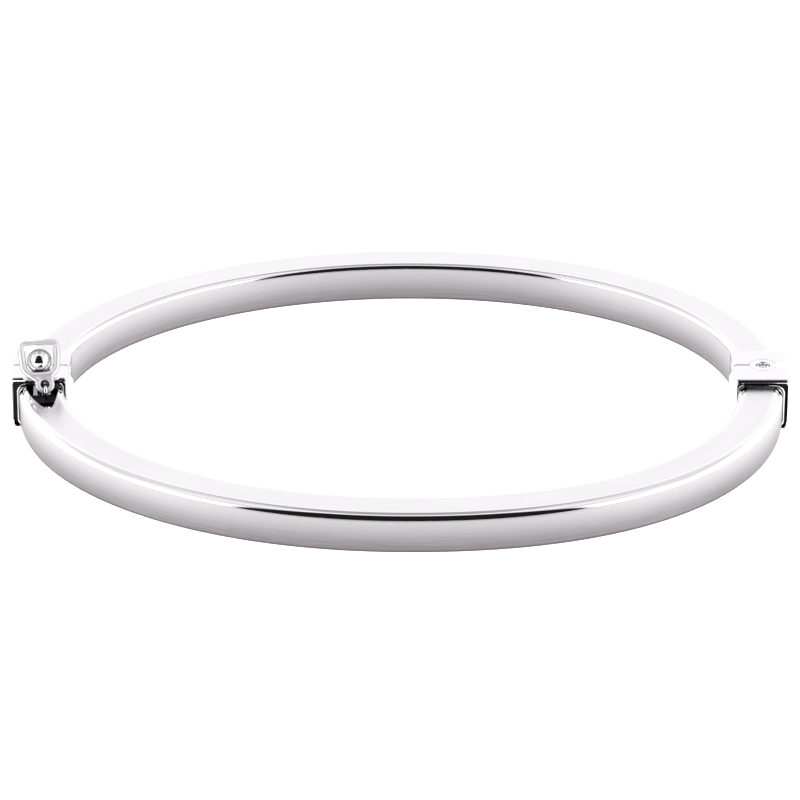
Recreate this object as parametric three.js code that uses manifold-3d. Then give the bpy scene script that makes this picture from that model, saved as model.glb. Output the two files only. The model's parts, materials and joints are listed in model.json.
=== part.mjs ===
// A hinged oval bangle bracelet lying flat: two hollow half rings of nearly square tube, a collar on
// each tube end, a pinned knuckle hinge at +X and, at -X, a box clasp with a sprung tongue, a ball
// thumb piece and a figure-eight safety catch that leans back over the ball. Millimetres, +Z up.
import * as THREE from 'three';
import { mergeVertices } from 'three/addons/utils/BufferGeometryUtils.js';
import Module from 'manifold-3d';

const wasm = await Module();
wasm.setup();

// Plan of the ring: four quarter superellipses that meet the seam line y = 0 squarely.
const HINGE_X = 31.5;
const CLASP_X = -31.4;
const WIDEST_X = 0.77;
const BACK_DEPTH = 24.4;
const FRONT_DEPTH = 25.54;
const SQUARENESS = { back: { hinge: 2.09, clasp: 1.97 }, front: { hinge: 2.2, clasp: 2.04 } };

// Tube section.
const TUBE_WIDTH = 3.8;
const TUBE_HEIGHT = 3.6;
const TUBE_CORNER = 0.5;
const TUBE_WALL = 0.45;
const TUBE_STEPS = 56;
// Distance of each tube's ends from the seam, inside the collars.
const TUBE_START = {
  back: { hinge: 1.75, clasp: 1.75 },
  front: { hinge: 2.3, clasp: 1.75 },
};

// Collars. They stand on z = 0 and hold the tubes at mid height.
const COLLAR_HEIGHT = 4.9;
const COLLAR_CORNER = 0.4;
const COLLAR_BEVEL = 0.12;
const HINGE_COLLAR_WIDTH = 5.0;
const CLASP_COLLAR_WIDTH = 5.2;
const SEAM_GAP = 0.05;
const BACK_COLLAR_END = 2.95;
const FRONT_HINGE_COLLAR_END = 3.15;
const FRONT_CLASP_COLLAR_END = 2.75;
const SOCKET_WALL = 0.35;
const SOCKET_HEIGHT = 4.0;
const MID_Z = COLLAR_HEIGHT / 2;

// Flanges: thin solder plates between tube and collar, set back from the collar's mouth.
const FLANGE_SETBACK = 0.25;
const FLANGE_THICKNESS = 0.3;
const FIT_GAP = 0.04;

// Hinge.
const PIN_X = 31.7;
const PIN_RADIUS = 0.55;
const KNUCKLE_BORE = 0.6;
const KNUCKLE_RADIUS = 1.18;
const GROOVE_RADIUS = 1.26;
const KNUCKLE_GAP = 0.05;
const OPENING_DEG = 30;
const RELIEF_DEG = (OPENING_DEG + 1.5) / 2;

// Clasp tongue: a fixed lower leaf and a sprung upper leaf that meet at a fold.
const TONGUE_X = -31.2;
const TONGUE_WIDTH = 1.7;
const LEAF_THICKNESS = 0.35;
const TONGUE_ROOT_Y = 0.9;
const LOWER_LEAF_Z = 1.3;
const FOLD_Y = -4.3;
const FOLD_Z = 2.05;
const LEAF_TIP_Y = -0.75;
const LEAF_TIP_Z = 3.25;
const BOX_BORE = { width: 3.0, bottom: 0.95, top: 4.05 };
const SLOT_HALF_WIDTH = 0.75;
const SLOT_END_Y = -1.65;
const STEM_RADIUS = 0.28;
const BALL_RADIUS = 1.07;
const SHOULDER_DEPTH = 0.4;
const SHOULDER_Y = -0.4;

// Safety catch: a figure eight of round wire whose small loop is held by a staple on the front tube.
const CATCH_X = -30.7;
const CATCH_Y = -4.2;
const CATCH_Z = 4.39;
const CATCH_TURN_DEG = 8;
const CATCH_LEAN_DEG = 40;
const CATCH_CLOSED_DEG = 52;
const EYE_WIRE = 0.2;
const EYE_RING = 0.62;
const LOOP_WIRE = 0.25;
const LOOP_RING = 1.52;
const LOOP_REACH = 2.95;
const LOOP_SIDE = -0.3;
const NECK_WIRE = 0.22;
// Where the neck's legs meet the eye and the loop, as shares of each ring's radius.
const NECK_AT_EYE = { side: 0.8, up: 1.55 };
const NECK_AT_LOOP = { side: 0.62, down: 0.78 };
const STAPLE_WIRE = 0.16;
const STAPLE_RADIUS = 0.4;
const SEAT_TOP = 3.71;
const SEAT_THICKNESS = 0.33;
const SEAT_WIDTH = 2.3;
const SEAT_DEPTH = 1.7;
const SEAT_SIDE = -0.2;
const SEAT_AHEAD = -0.1;
const SOLDER_GAP = 0.02;

// Outline of the notch round the staple, about the catch's pivot, from its mouth round its point.
const NOTCH_OUTLINE = [
  [-1.85, 3.2], [-1.8, 1.5], [-1.44, -0.1], [-0.62, -1.85], [0.1, -2.95], [0.42, -3.12],
  [0.72, -2.85], [0.9, -1.5], [0.95, 0], [1.0, 3.2],
];
const NOTCH_DEPTH = 2;

const radians = THREE.MathUtils.degToRad;

// ---- solids ---------------------------------------------------------------------------------

function toSolid(geometry) {
  const bare = geometry.clone();
  bare.deleteAttribute('normal');
  bare.deleteAttribute('uv');
  const merged = mergeVertices(bare, 1e-5);
  const vertProperties = new Float32Array(merged.attributes.position.array);
  const triVerts = new Uint32Array(merged.index.array);
  return new wasm.Manifold(new wasm.Mesh({ numProp: 3, vertProperties, triVerts }));
}

function toGeometry(solid) {
  const mesh = solid.getMesh();
  const geometry = new THREE.BufferGeometry();
  geometry.setAttribute('position', new THREE.BufferAttribute(mesh.vertProperties, 3));
  geometry.setIndex(new THREE.BufferAttribute(mesh.triVerts, 1));
  geometry.computeVertexNormals();
  return geometry;
}

function box(width, depth, height, x, y, z) {
  return toSolid(new THREE.BoxGeometry(width, depth, height).translate(x, y, z));
}

function upright(radius, bottom, top, x, y, sides = 28) {
  const geometry = new THREE.CylinderGeometry(radius, radius, top - bottom, sides);
  return toSolid(geometry.rotateX(Math.PI / 2).translate(x, y, (bottom + top) / 2));
}

function roundedRectangle(width, height, corner) {
  const x = width / 2 - corner;
  const y = height / 2 - corner;
  const shape = new THREE.Shape();
  shape.absarc(x, y, corner, 0, Math.PI / 2);
  shape.absarc(-x, y, corner, Math.PI / 2, Math.PI);
  shape.absarc(-x, -y, corner, Math.PI, Math.PI * 1.5);
  shape.absarc(x, -y, corner, Math.PI * 1.5, Math.PI * 2);
  shape.closePath();
  return shape;
}

// A prism of a plan outline (x, y), between two heights.
function prism(points, bottom, top) {
  const shape = new THREE.Shape(points.map(([x, y]) => new THREE.Vector2(x, y)));
  const geometry = new THREE.ExtrudeGeometry(shape, { depth: top - bottom, bevelEnabled: false });
  return toSolid(geometry.translate(0, 0, bottom));
}

// ---- tubes ----------------------------------------------------------------------------------

class HalfRing extends THREE.Curve {
  constructor(side, hingeStart, claspStart) {
    super();
    this.side = side;
    this.depth = side === 'back' ? BACK_DEPTH : FRONT_DEPTH;
    this.first = this.angleAt(hingeStart, SQUARENESS[side].hinge);
    this.last = Math.PI - this.angleAt(claspStart, SQUARENESS[side].clasp);
  }

  angleAt(distance, squareness) {
    return Math.asin((distance / this.depth) ** (squareness / 2));
  }

  getPoint(t, target = new THREE.Vector3()) {
    const angle = THREE.MathUtils.lerp(this.first, this.last, t);
    const towardsHinge = Math.cos(angle) > 0;
    const power = 2 / SQUARENESS[this.side][towardsHinge ? 'hinge' : 'clasp'];
    const reach = towardsHinge ? HINGE_X - WIDEST_X : CLASP_X - WIDEST_X;
    const across = Math.abs(Math.cos(angle)) ** power;
    const deep = Math.abs(Math.sin(angle)) ** power;
    const sign = this.side === 'back' ? 1 : -1;
    return target.set(WIDEST_X + reach * across, sign * this.depth * deep, MID_Z);
  }
}

function sweptTube(path, width, height, wall, steps) {
  const section = roundedRectangle(height, width, TUBE_CORNER);
  if (wall > 0) {
    section.holes.push(roundedRectangle(height - 2 * wall, width - 2 * wall, TUBE_CORNER / 3));
  }
  const options = { steps, curveSegments: 1, bevelEnabled: false, extrudePath: path };
  return toSolid(new THREE.ExtrudeGeometry(section, options));
}

function tube(side) {
  const path = new HalfRing(side, TUBE_START[side].hinge, TUBE_START[side].clasp);
  return sweptTube(path, TUBE_WIDTH, TUBE_HEIGHT, TUBE_WALL, TUBE_STEPS);
}

// The outer shape of a tube end with a small clearance, used to cut the flange around it.
function tubeEnvelope(side) {
  const path = new HalfRing(side, TUBE_START[side].hinge, TUBE_START[side].clasp);
  return sweptTube(path, TUBE_WIDTH + 2 * FIT_GAP, TUBE_HEIGHT + 2 * FIT_GAP, 0, TUBE_STEPS);
}

// The notch in the front tube's top wall around the catch's staple: wide at the tube's end and
// closing to a rounded point.
function catchNotch() {
  const corners = NOTCH_OUTLINE.map(([x, y]) => new THREE.Vector2(CATCH_X + x, CATCH_Y + y));
  const line = new THREE.SplineCurve(corners).getPoints(27);
  const floor = MID_Z + TUBE_HEIGHT / 2 - 2 * TUBE_WALL;
  return prism(line.map(({ x, y }) => [x, y]), floor, floor + NOTCH_DEPTH);
}

// ---- collars --------------------------------------------------------------------------------

// Where each collar stands, how wide it is, how far from the seam it ends and where its socket's floor is.
const collars = {
  back_hinge: { x: HINGE_X, width: HINGE_COLLAR_WIDTH, end: BACK_COLLAR_END, floor: 1.5 },
  back_clasp: { x: CLASP_X, width: CLASP_COLLAR_WIDTH, end: BACK_COLLAR_END, floor: 1.5 },
  front_hinge: { x: HINGE_X, width: HINGE_COLLAR_WIDTH, end: FRONT_HINGE_COLLAR_END, floor: 2.1 },
  front_clasp: { x: CLASP_X, width: CLASP_COLLAR_WIDTH, end: FRONT_CLASP_COLLAR_END, floor: 1.5 },
};

function block(width, height, corner, near, far, x, sign) {
  const shape = roundedRectangle(width, height, corner);
  const options = {
    depth: far - near - 2 * COLLAR_BEVEL,
    curveSegments: 2,
    bevelThickness: COLLAR_BEVEL,
    bevelSize: COLLAR_BEVEL,
    bevelOffset: -COLLAR_BEVEL,
    bevelSegments: 1,
  };
  const geometry = new THREE.ExtrudeGeometry(shape, options);
  geometry.rotateX(Math.PI / 2);
  const start = sign > 0 ? far - COLLAR_BEVEL : -near - COLLAR_BEVEL;
  return toSolid(geometry.translate(x, start, MID_Z));
}

function collar(name) {
  const { x, width, end, floor } = collars[name];
  const sign = name.startsWith('back') ? 1 : -1;
  const outer = block(width, COLLAR_HEIGHT, COLLAR_CORNER, SEAM_GAP, end, x, sign);
  const socketLength = end - floor + 1;
  const socketY = sign * (floor + socketLength / 2);
  const socket = box(width - 2 * SOCKET_WALL, socketLength, SOCKET_HEIGHT, x, socketY, MID_Z);
  return outer.subtract(socket);
}

function flange(name, envelope) {
  const { x, width, end } = collars[name];
  const sign = name.startsWith('back') ? 1 : -1;
  const y = sign * (end - FLANGE_SETBACK - FLANGE_THICKNESS / 2);
  const plateWidth = width - 2 * SOCKET_WALL - 2 * FIT_GAP;
  const plate = box(plateWidth, FLANGE_THICKNESS, SOCKET_HEIGHT - 2 * FIT_GAP, x, y, MID_Z);
  return plate.subtract(envelope);
}

// ---- hinge ----------------------------------------------------------------------------------

const knuckleHeight = (COLLAR_HEIGHT - 2 * KNUCKLE_GAP) / 3;

function knuckle(level) {
  const bottom = level * (knuckleHeight + KNUCKLE_GAP);
  const top = bottom + knuckleHeight;
  const outer = upright(KNUCKLE_RADIUS, bottom, top, PIN_X, 0);
  return outer.subtract(upright(KNUCKLE_BORE, bottom - 1, top + 1, PIN_X, 0));
}

function hingeGroove() {
  return upright(GROOVE_RADIUS, -1, COLLAR_HEIGHT + 1, PIN_X, 0);
}

// The wedge cut off both collars' outer corners, half from each, so that the front half can swing.
function openingRelief() {
  const reach = 6;
  const half = reach * Math.tan(radians(RELIEF_DEG));
  return prism([[PIN_X, 0], [PIN_X + reach, -half], [PIN_X + reach, half]], -1, COLLAR_HEIGHT + 1);
}

// ---- clasp ----------------------------------------------------------------------------------

const turn = radians(CATCH_TURN_DEG);
const catchAxis = new THREE.Vector3(Math.cos(turn), Math.sin(turn), 0);
const catchBack = new THREE.Vector3(-Math.sin(turn), Math.cos(turn), 0);

// The ball sits where the middle of the big loop comes when the catch is folded back over it.
const closed = radians(CATCH_CLOSED_DEG);
const ballCentre = new THREE.Vector3(CATCH_X, CATCH_Y, CATCH_Z)
  .addScaledVector(catchAxis, LOOP_SIDE)
  .addScaledVector(catchBack, LOOP_REACH * Math.sin(closed))
  .add(new THREE.Vector3(0, 0, LOOP_REACH * Math.cos(closed)));

function boxBore() {
  const length = FRONT_CLASP_COLLAR_END + 1;
  const height = BOX_BORE.top - BOX_BORE.bottom;
  return box(BOX_BORE.width, length, height, CLASP_X, 1 - length / 2, BOX_BORE.bottom + height / 2);
}

function stemSlot() {
  const top = COLLAR_HEIGHT + 1;
  const length = 1 - SLOT_END_Y;
  const straight = box(2 * SLOT_HALF_WIDTH, length, 2, ballCentre.x, 1 - length / 2, top - 1);
  return straight.add(upright(SLOT_HALF_WIDTH, top - 2, top, ballCentre.x, SLOT_END_Y));
}

// A profile in the (y, z) plane, made TONGUE_WIDTH wide along X.
function leaf(points) {
  const shape = new THREE.Shape(points.map(([y, z]) => new THREE.Vector2(y, z)));
  const geometry = new THREE.ExtrudeGeometry(shape, { depth: TONGUE_WIDTH, bevelEnabled: false });
  geometry.rotateY(Math.PI / 2).rotateX(Math.PI / 2);
  return toSolid(geometry.translate(TONGUE_X - TONGUE_WIDTH / 2, 0, 0));
}

function tongueBase() {
  const top = LOWER_LEAF_Z + LEAF_THICKNESS;
  return leaf([
    [TONGUE_ROOT_Y, LOWER_LEAF_Z],
    [TONGUE_ROOT_Y, top],
    [FOLD_Y - 0.2, top],
    [FOLD_Y - 0.35, top - 0.1],
    [FOLD_Y - 0.35, LOWER_LEAF_Z + 0.1],
    [FOLD_Y - 0.2, LOWER_LEAF_Z],
  ]);
}

function tongueLeaf() {
  const slope = new THREE.Vector2(LEAF_TIP_Y - FOLD_Y, LEAF_TIP_Z - FOLD_Z).normalize();
  const under = new THREE.Vector2(slope.y, -slope.x).multiplyScalar(LEAF_THICKNESS);
  return leaf([
    [FOLD_Y - 0.3, FOLD_Z - 0.2],
    [FOLD_Y - 0.1, FOLD_Z - 0.35],
    [FOLD_Y + under.x, FOLD_Z + under.y],
    [LEAF_TIP_Y + under.x, LEAF_TIP_Z + under.y],
    [LEAF_TIP_Y, LEAF_TIP_Z],
    [FOLD_Y, FOLD_Z],
    [FOLD_Y - 0.2, FOLD_Z - 0.04],
  ]);
}

function tongueRootSlot() {
  const height = LEAF_THICKNESS + 2 * FIT_GAP;
  const length = TONGUE_ROOT_Y + FIT_GAP + 1;
  const y = TONGUE_ROOT_Y + FIT_GAP - length / 2;
  return box(TONGUE_WIDTH + 2 * FIT_GAP, length, height, TONGUE_X, y, LOWER_LEAF_Z + LEAF_THICKNESS / 2);
}

function leafTopAt(y) {
  return FOLD_Z + ((y - FOLD_Y) * (LEAF_TIP_Z - FOLD_Z)) / (LEAF_TIP_Y - FOLD_Y);
}

function thumbStem() {
  const foot = leafTopAt(ballCentre.y + STEM_RADIUS) + FIT_GAP;
  const head = ballCentre.z - BALL_RADIUS - SOLDER_GAP;
  return upright(STEM_RADIUS, foot, head, ballCentre.x, ballCentre.y, 16);
}

function thumbBall() {
  const sphere = new THREE.SphereGeometry(BALL_RADIUS, 24, 16).rotateX(Math.PI / 2);
  return toSolid(sphere.translate(ballCentre.x, ballCentre.y, ballCentre.z));
}

// Shoulders under the box's top wall, one on each side of the slot, behind which the leaf's tip sits.
function shoulder(outward) {
  const inner = SLOT_HALF_WIDTH + 0.05;
  const outer = BOX_BORE.width / 2 - FIT_GAP;
  const bottom = LEAF_TIP_Z + 0.1;
  const top = BOX_BORE.top - FIT_GAP;
  const x = CLASP_X + (outward * (inner + outer)) / 2;
  return box(outer - inner, SHOULDER_DEPTH, top - bottom, x, SHOULDER_Y, (top + bottom) / 2);
}

// ---- safety catch ---------------------------------------------------------------------------

function wireSection(radius, sides) {
  const shape = new THREE.Shape();
  for (let i = 0; i < sides; i++) {
    const angle = (i / sides) * 2 * Math.PI;
    const x = radius * Math.cos(angle);
    const y = radius * Math.sin(angle);
    if (i === 0) shape.moveTo(x, y);
    else shape.lineTo(x, y);
  }
  shape.closePath();
  return shape;
}

function ring(radius, wire, x, z, sides, steps) {
  const torus = new THREE.TorusGeometry(radius, wire, sides, steps).rotateX(Math.PI / 2);
  return toSolid(torus.translate(x, 0, z));
}

// One leg of the neck, from the side of the eye to the side of the big loop.
function neckLeg(side) {
  const path = new THREE.LineCurve3(
    new THREE.Vector3(side * EYE_RING * NECK_AT_EYE.side, 0, EYE_RING * NECK_AT_EYE.up),
    new THREE.Vector3(
      LOOP_SIDE + side * LOOP_RING * NECK_AT_LOOP.side,
      0,
      LOOP_REACH - LOOP_RING * NECK_AT_LOOP.down,
    ),
  );
  const section = wireSection(NECK_WIRE, 8);
  return toSolid(new THREE.ExtrudeGeometry(section, { steps: 1, bevelEnabled: false, extrudePath: path }));
}

function safetyCatch() {
  const loop = ring(LOOP_RING, LOOP_WIRE, LOOP_SIDE, LOOP_REACH, 8, 32);
  const eye = ring(EYE_RING, EYE_WIRE, 0, EYE_RING, 8, 18);
  const solid = loop.add(eye).add(neckLeg(-1)).add(neckLeg(1));
  const leaning = toGeometry(solid).rotateX(-radians(CATCH_LEAN_DEG));
  return leaning.rotateZ(turn).translate(CATCH_X, CATCH_Y, CATCH_Z);
}

function catchStaple() {
  const path = new THREE.CurvePath();
  const foot = SEAT_TOP + SOLDER_GAP - CATCH_Z;
  const points = [new THREE.Vector3(0, -STAPLE_RADIUS, foot)];
  const arcSteps = 10;
  for (let i = 0; i <= arcSteps; i++) {
    const angle = (i / arcSteps) * Math.PI;
    points.push(new THREE.Vector3(0, -STAPLE_RADIUS * Math.cos(angle), STAPLE_RADIUS * Math.sin(angle)));
  }
  points.push(new THREE.Vector3(0, STAPLE_RADIUS, foot));
  for (let i = 1; i < points.length; i++) {
    path.add(new THREE.LineCurve3(points[i - 1], points[i]));
  }
  const options = { steps: 24, bevelEnabled: false, extrudePath: path };
  const geometry = new THREE.ExtrudeGeometry(wireSection(STAPLE_WIRE, 8), options);
  return toSolid(geometry.rotateZ(turn).translate(CATCH_X, CATCH_Y, CATCH_Z));
}

function catchSeat() {
  const geometry = new THREE.BoxGeometry(SEAT_WIDTH, SEAT_DEPTH, SEAT_THICKNESS).rotateZ(turn);
  return toSolid(
    geometry.translate(CATCH_X + SEAT_SIDE, CATCH_Y + SEAT_AHEAD, SEAT_TOP - SEAT_THICKNESS / 2),
  );
}

// ---- assembly -------------------------------------------------------------------------------

const polished = { color: 0xe6e4e8, roughness: 0.12, metalness: 1 };
const satin = { color: 0xcfccd2, roughness: 0.38, metalness: 1 };

const bracelet = new THREE.Group();
bracelet.name = 'bangle_bracelet';
bracelet.position.y = (FRONT_DEPTH - BACK_DEPTH) / 2;

function addPiece(name, solid, finish) {
  const geometry = solid.isBufferGeometry ? solid : toGeometry(solid);
  const mesh = new THREE.Mesh(geometry, new THREE.MeshStandardMaterial(finish));
  mesh.name = name;
  bracelet.add(mesh);
}

const groove = hingeGroove();
const envelopes = { back: tubeEnvelope('back'), front: tubeEnvelope('front') };

addPiece('back_tube', tube('back'), satin);
addPiece('front_tube', tube('front').subtract(catchNotch()), satin);
for (const name of Object.keys(collars)) {
  const side = name.split('_')[0];
  addPiece(`${name}_flange`, flange(name, envelopes[side]), polished);
}

const relief = openingRelief();
for (const name of ['back_hinge', 'front_hinge']) {
  addPiece(`${name}_collar`, collar(name).subtract(groove).subtract(relief), polished);
}
addPiece('hinge_knuckle_bottom', knuckle(0), polished);
addPiece('hinge_knuckle_middle', knuckle(1), polished);
addPiece('hinge_knuckle_top', knuckle(2), polished);
addPiece('hinge_pin', upright(PIN_RADIUS, 0.03, COLLAR_HEIGHT - 0.03, PIN_X, 0), polished);

addPiece('back_clasp_collar', collar('back_clasp').subtract(tongueRootSlot()), polished);
addPiece('front_clasp_collar', collar('front_clasp').subtract(boxBore()).subtract(stemSlot()), polished);
addPiece('tongue_base', tongueBase(), polished);
addPiece('tongue_leaf', tongueLeaf(), polished);
addPiece('thumb_stem', thumbStem(), polished);
addPiece('thumb_ball', thumbBall(), polished);
addPiece('shoulder_inner', shoulder(1), polished);
addPiece('shoulder_outer', shoulder(-1), polished);

addPiece('safety_catch', safetyCatch(), polished);
addPiece('catch_staple', catchStaple(), polished);
addPiece('catch_seat', catchSeat(), polished);

export default bracelet;
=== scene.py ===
"""A hinged oval bangle bracelet of square tube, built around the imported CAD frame.

Meshes are made in millimetres in the row frame and scaled to metres when they are finished.
"""

import json
import math

import bmesh
import bpy
from mathutils import Matrix, Vector

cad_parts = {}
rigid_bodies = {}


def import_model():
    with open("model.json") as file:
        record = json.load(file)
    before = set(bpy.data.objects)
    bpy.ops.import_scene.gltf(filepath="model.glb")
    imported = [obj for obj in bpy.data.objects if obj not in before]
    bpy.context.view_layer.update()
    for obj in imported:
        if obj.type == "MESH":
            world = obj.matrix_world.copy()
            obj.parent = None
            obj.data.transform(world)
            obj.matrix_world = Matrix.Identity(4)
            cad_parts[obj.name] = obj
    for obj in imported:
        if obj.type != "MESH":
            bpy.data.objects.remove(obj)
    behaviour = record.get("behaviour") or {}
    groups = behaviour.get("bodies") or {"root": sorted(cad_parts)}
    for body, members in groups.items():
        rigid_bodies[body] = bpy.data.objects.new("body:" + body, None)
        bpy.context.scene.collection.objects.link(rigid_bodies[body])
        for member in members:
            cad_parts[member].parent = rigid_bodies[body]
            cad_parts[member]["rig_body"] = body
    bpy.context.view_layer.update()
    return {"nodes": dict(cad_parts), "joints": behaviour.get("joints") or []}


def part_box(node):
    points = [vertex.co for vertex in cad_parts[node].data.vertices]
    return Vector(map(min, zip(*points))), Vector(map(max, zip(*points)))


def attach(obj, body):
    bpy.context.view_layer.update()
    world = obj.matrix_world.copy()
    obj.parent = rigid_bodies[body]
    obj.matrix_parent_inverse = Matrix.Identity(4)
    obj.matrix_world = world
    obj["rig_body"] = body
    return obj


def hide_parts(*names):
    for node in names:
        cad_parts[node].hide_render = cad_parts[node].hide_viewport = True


MM = 0.001

# Plan of the ring, as in the CAD source.
TUBE_WIDTH = 3.8
WIDEST_X = 0.77
SQUARENESS = {"back": (2.09, 1.97), "front": (2.2, 2.04)}  # hinge quarter, clasp quarter
TUBE_WALL = 0.45
# Radii of the tube's long edges: the outer and the inner one on top, and both below.
TUBE_EDGE_OUTER = 0.66
TUBE_EDGE_INNER = 0.5
TUBE_EDGE_BELOW = 0.4
# How finely the tube is swept.
TUBE_STATIONS = 260
TUBE_FINE_STEPS = 4000
CORNER_STEPS = 9
# How far inside a flat the point is that keeps its shading even.
SUPPORT = 0.03
# Radius of the tiny circle that closes a lathed piece on its axis.
AXIS_RADIUS = 0.001

# Collars and what shows inside their mouths.
COLLAR_EDGE = 0.42
COLLAR_WALL = 0.35
SOCKET_EDGE = 0.22
SOCKET_FLOOR = {
    ("back", "hinge"): 1.5, ("back", "clasp"): 1.5,
    ("front", "hinge"): 2.0, ("front", "clasp"): 1.5,
}
RIM_FLARE = 0.07
PLATE_RECESS = 0.55
PLATE_THICKNESS = 0.2
PLATE_GAP = 0.03
PLATE_EDGE = 0.2
LIP_WIRE = 0.07
LIP_CLEARANCE = 0.09
LIP_SIDES = 10
LIP_INSIDE_MOUTH = 0.12
SHARP_END = 0.02
PLATE_FIT = 0.04
LIP_PATH_START = 1.6
LIP_PATH_STATIONS = 300
# How far a collar's faces slope off before its mouth, and the roundings beside that slope.
MOUTH_SLOPE = {
    ("back", "hinge"): 0.1, ("back", "clasp"): 0.1,
    ("front", "hinge"): 0.24, ("front", "clasp"): 0.14,
}
MOUTH_SLOPE_ANGLE = 35
MOUTH_ROUND = 0.1
SEAM_ROUND = 0.05
# How much of the slope's depth comes off a bar's long edges, and the least radius that leaves.
CORNER_SHRINK = 0.8
LEAST_CORNER = 0.02
# Faces this far inside the hollow's walls and from the seam get the painted black shade.
RECESS_MARGIN = 0.02
SEAM_MARGIN = 0.3

# Hinge.
GROOVE_CLEARANCE = 0.02
GROOVE_CHAMFER = 0.01
BORE_CHAMFER = 0.04
KNUCKLE_ROUND = 0.025
KNUCKLE_BORE_GAP = 0.05
PIN_ROUND = 0.14
PIN_EYELET = 0.4
PIN_EYELET_DEPTH = 0.5
SWING_SPARE = 1.5

# The clasp's box: its bore, the slot for the stem and the seat of the catch's staple.
BOX_BORE_WIDTH = 3.0
BOX_BORE_LOW = 0.95
BOX_BORE_HIGH = 4.05
BOX_BORE_EDGE = 0.1
STEM_SLOT_HALF = 0.75
STEM_SLOT_END = 0.1
STEM_FILLET = 0.16
SEAT_HALF_DEPTH = 0.8
SEAT_EDGE = 0.08
SEAT_WIDTH = 2.2
STAPLE_WIRE = 0.16
STAPLE_SINK = 0.02

# Safety catch, in its own plane: across the pivot axis and up from it.
EYE_RING = 0.6
EYE_WIRE = 0.24
LOOP_WIRE = 0.29
LOOP_TOP_WIRE = 0.23
LOOP_REACH = 2.95
LOOP_SIDE = -0.3
CATCH_LEAN = math.radians(40)
LOOP_HALF_WIDTH = 1.52
LOOP_TOP = LOOP_REACH + 1.42
LOOP_BOTTOM = LOOP_REACH - 1.5
LOOP_TOP_CORNER = 0.42
LOOP_BOTTOM_CORNER = 1.15
LOOP_TOP_SPREAD = 0.06
LOOP_BOTTOM_PINCH = (0.10, 0.12)  # left, right
LOOP_TOP_BAR = 0.5
LOOP_STATIONS = 120
# The legs of the neck: from (across, up) at the eye to (across the loop, above its bottom), with
# the wire's radius at both ends.
NECK_LEGS = [
    ((-0.50, 0.90), (-0.95, 0.12), 0.24, 0.29),
    ((0.52, 0.86), (0.90, 0.10), 0.24, 0.28),
    ((-0.20, 1.24), (-0.30, 0.0), 0.2, 0.26),
    ((0.22, 1.24), (0.40, 0.0), 0.2, 0.26),
]
CATCH_VOXEL = 0.035

# Outline of the notch about the catch's pivot, (across, along), from the mouth round its tip.
NOTCH = [
    (-1.90, 3.4), (-1.86, 2.4), (-1.80, 1.5), (-1.68, 0.7), (-1.44, -0.1), (-1.16, -0.8),
    (-0.62, -1.85), (-0.16, -2.58), (0.14, -3.0), (0.42, -3.12), (0.70, -2.88), (0.85, -2.2),
    (0.94, -1.3), (1.03, -0.1), (1.10, 0.9), (1.15, 2.0), (1.17, 3.4),
]
NOTCH_CHAMFER = 0.05
NOTCH_LINE_STEPS = 5

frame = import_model()
joints = {joint["name"]: joint for joint in frame["joints"]}


# ---- places taken from the frame --------------------------------------------------------------

def box(node):
    low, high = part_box(node)
    return low / MM, high / MM


def middle(node):
    low, high = box(node)
    return (low + high) / 2


collar_nodes = {
    (side, end): f"{side}_{end}_collar" for side in ("back", "front") for end in ("hinge", "clasp")
}
seam_y = (box("back_hinge_collar")[0].y + box("front_hinge_collar")[1].y) / 2
hinge_x = middle("back_hinge_collar").x
clasp_x = middle("back_clasp_collar").x
collar_top = box("back_hinge_collar")[1].z
mid_z = middle("back_tube").z
tube_height = box("back_tube")[1].z - box("back_tube")[0].z
ring_depth = {
    "back": box("back_tube")[1].y - seam_y - TUBE_WIDTH / 2,
    "front": seam_y - box("front_tube")[0].y - TUBE_WIDTH / 2,
}
pin = middle("hinge_pin")
pin_radius = (box("hinge_pin")[1].x - box("hinge_pin")[0].x) / 2
knuckle_radius = (box("hinge_knuckle_top")[1].x - box("hinge_knuckle_top")[0].x) / 2
ball = middle("thumb_ball")
ball_radius = (box("thumb_ball")[1].z - box("thumb_ball")[0].z) / 2


def joint_place(name):
    """A joint's point in millimetres and its unit axis."""
    return Vector(joints[name]["pos_m"]) / MM, Vector(joints[name]["axis"]).normalized()


# ---- meshes -----------------------------------------------------------------------------------

def rounded_section(width, height, radii):
    """Points (across, up) round a rounded rectangle, from the middle of its +across side.

    radii is one number, or one for each corner: +across top, -across top, -across and +across below.
    A point just inside each flat keeps the shading of the flat even.
    """
    a, b = width / 2, height / 2
    if not isinstance(radii, tuple):
        radii = (radii,) * 4
    points = [(a, 0.0)]
    corners = [(1, 1, 0), (-1, 1, 90), (-1, -1, 180), (1, -1, 270)]
    for (across, up, start), radius in zip(corners, radii):
        centre = Vector((across * (a - radius), up * (b - radius)))
        first, last = math.radians(start), math.radians(start + 90)
        along_in = Vector((-math.sin(first), math.cos(first)))
        along_out = Vector((-math.sin(last), math.cos(last)))
        arc = []
        for step in range(CORNER_STEPS + 1):
            angle = first + (last - first) * step / CORNER_STEPS
            arc.append(centre + radius * Vector((math.cos(angle), math.sin(angle))))
        points.append(tuple(arc[0] - along_in * SUPPORT))
        points += [tuple(point) for point in arc]
        points.append(tuple(arc[-1] + along_out * SUPPORT))
        if start == 90:
            points.append((-a, 0.0))
    return points


def new_object(name, bm):
    mesh = bpy.data.meshes.new(name)
    bmesh.ops.recalc_face_normals(bm, faces=bm.faces)
    if bm.calc_volume(signed=True) < 0:
        bmesh.ops.reverse_faces(bm, faces=bm.faces)
    bm.to_mesh(mesh)
    bm.free()
    piece = bpy.data.objects.new(name, mesh)
    bpy.context.scene.collection.objects.link(piece)
    return piece


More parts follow.
